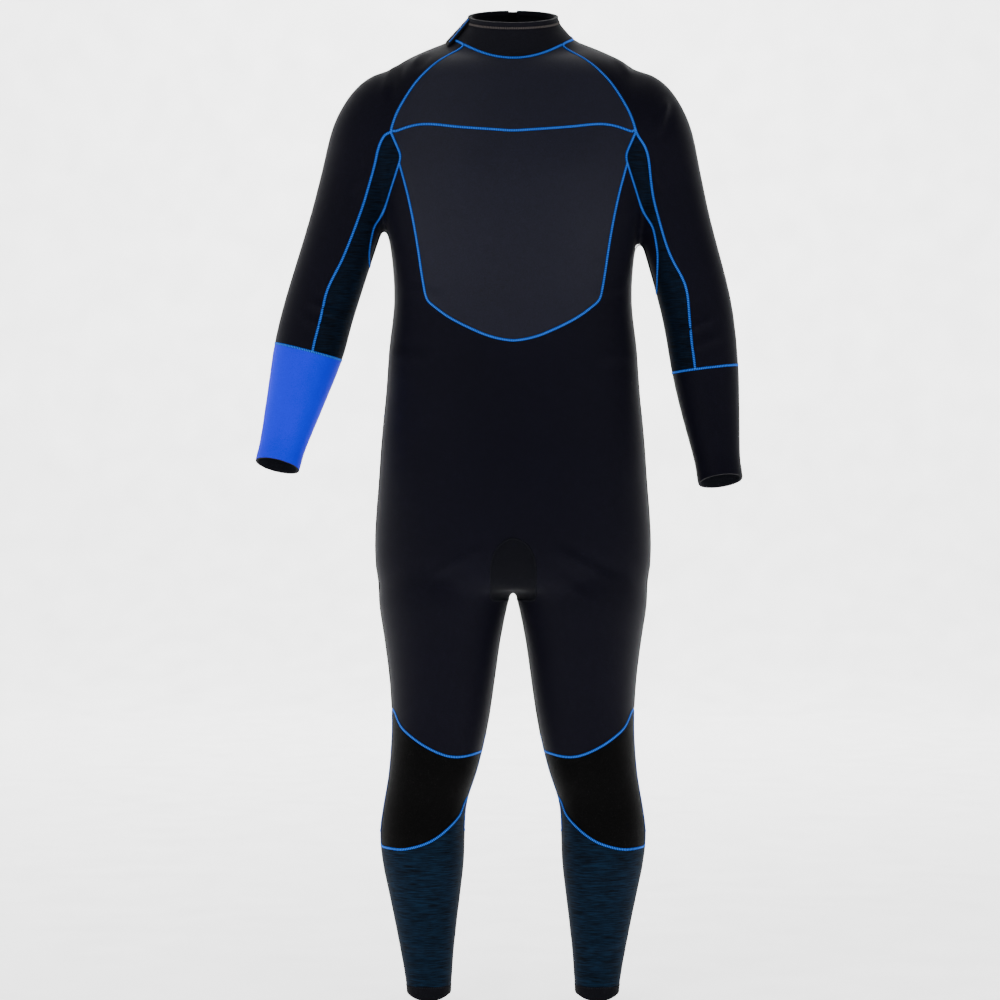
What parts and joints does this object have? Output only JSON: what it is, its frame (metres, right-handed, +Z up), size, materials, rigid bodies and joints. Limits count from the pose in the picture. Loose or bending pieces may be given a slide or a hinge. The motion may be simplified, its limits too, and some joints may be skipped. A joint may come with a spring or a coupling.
{
  "type": "full wetsuit",
  "caption": "Full-length neoprene wetsuit with raglan sleeves, chest panel, knee pads, back zip with collar flap, and one blue forearm; elbows and knees bend.",
  "frame": {"origin": "middle of the neck opening, half way along its bound rim", "axes": "+Z up from ankles to neck, -Y the front, +X the wearer's left"},
  "size_m": [0.7162, 0.2537, 1.4696],
  "materials": {
    "jersey": "fine knit jersey over neoprene",
    "heather": "streaked navy and black jersey",
    "blue_jersey": "vivid blue jersey",
    "chest_skin": "fine thermal jersey",
    "knee_grip": "grainy abrasion-resistant rubber print",
    "black_trim": "black jersey and hems",
    "zip_cloth": "woven zip tape",
    "zip_plastic": "moulded acetal",
    "hook_loop": "hook and loop pile"
  },
  "bodies": {
    "suit": {"right_raglan_sleeve": "jersey", "right_underarm_panel": "heather", "right_elbow_outer": "jersey", "right_elbow_inner": "heather", "right_thigh_front": "jersey", "right_back_panel": "jersey", "right_thigh_back": "jersey", "right_knee_back": "heather", "right_knee_pad": "knee_grip", "right_zip_tape": "zip_cloth", "right_zip_teeth": "zip_plastic", "left_raglan_sleeve": "jersey", "left_underarm_panel": "heather", "left_elbow_outer": "jersey", "left_elbow_inner": "heather", "left_thigh_front": "jersey", "left_back_panel": "jersey", "left_thigh_back": "jersey", "left_knee_back": "heather", "left_knee_pad": "knee_grip", "left_zip_tape": "zip_cloth", "left_zip_teeth": "zip_plastic", "chest_yoke": "jersey", "chest_panel": "chest_skin", "front_body": "jersey", "crotch_gusset": "black_trim", "seat_panel": "jersey", "zip_bottom_stop": "zip_plastic", "zip_top_stop": "zip_plastic", "zip_inner_flap": "black_trim", "collar": "black_trim", "collar_binding": "black_trim", "collar_loop_patch": "hook_loop"},
    "right_forearm_body": {"right_blue_forearm": "blue_jersey", "right_wrist_hem": "blue_jersey"},
    "left_forearm_body": {"left_forearm": "jersey", "left_wrist_hem": "black_trim"},
    "right_shin_body": {"right_shin": "heather", "right_ankle_hem": "black_trim"},
    "left_shin_body": {"left_shin": "heather", "left_ankle_hem": "black_trim"},
    "slider": {"zip_slider": "zip_plastic"},
    "pull_tab": {"zip_pull_tab": "zip_plastic"},
    "flap": {"collar_flap": "black_trim", "flap_hook_patch": "hook_loop"}
  },
  "joints": [
    {"name": "right_elbow", "type": "hinge", "parent": "suit", "child": "right_forearm_body", "pos_m": [-0.288, 0.01505, -0.43434], "axis": [-0.9681, 0, 0.2504], "range_deg": [0, 90], "stiffness_Nm_per_rad": 0.5, "deforming": ["right_elbow_outer", "right_elbow_inner"]},
    {"name": "left_elbow", "type": "hinge", "parent": "suit", "child": "left_forearm_body", "pos_m": [0.277, 0.01505, -0.45834], "axis": [-0.9877, 0, -0.1564], "range_deg": [0, 90], "stiffness_Nm_per_rad": 0.5, "deforming": ["left_elbow_outer", "left_elbow_inner"]},
    {"name": "right_knee", "type": "hinge", "parent": "suit", "child": "right_shin_body", "pos_m": [-0.1215, 0.01505, -1.12634], "axis": [1, 0, 0], "range_deg": [0, 90], "stiffness_Nm_per_rad": 0.8, "deforming": ["right_knee_pad", "right_knee_back"]},
    {"name": "left_knee", "type": "hinge", "parent": "suit", "child": "left_shin_body", "pos_m": [0.1215, 0.01505, -1.12634], "axis": [1, 0, 0], "range_deg": [0, 90], "stiffness_Nm_per_rad": 0.8, "deforming": ["left_knee_pad", "left_knee_back"]},
    {"name": "zip_slide", "type": "slide", "parent": "suit", "child": "slider", "axis": [0, 0.035, -0.9994], "range_m": [0, 0.425]},
    {"name": "pull_tab_swing", "type": "hinge", "parent": "slider", "child": "pull_tab", "pos_m": [0, 0.11469, -0.0995], "axis": [1, 0, 0], "range_deg": [0, 150]},
    {"name": "collar_flap_swing", "type": "hinge", "parent": "suit", "child": "flap", "pos_m": [0.03785, 0.07925, -0.00261], "axis": [0.3642, 0.6846, -0.6314], "range_deg": [0, 100]}
  ]
}
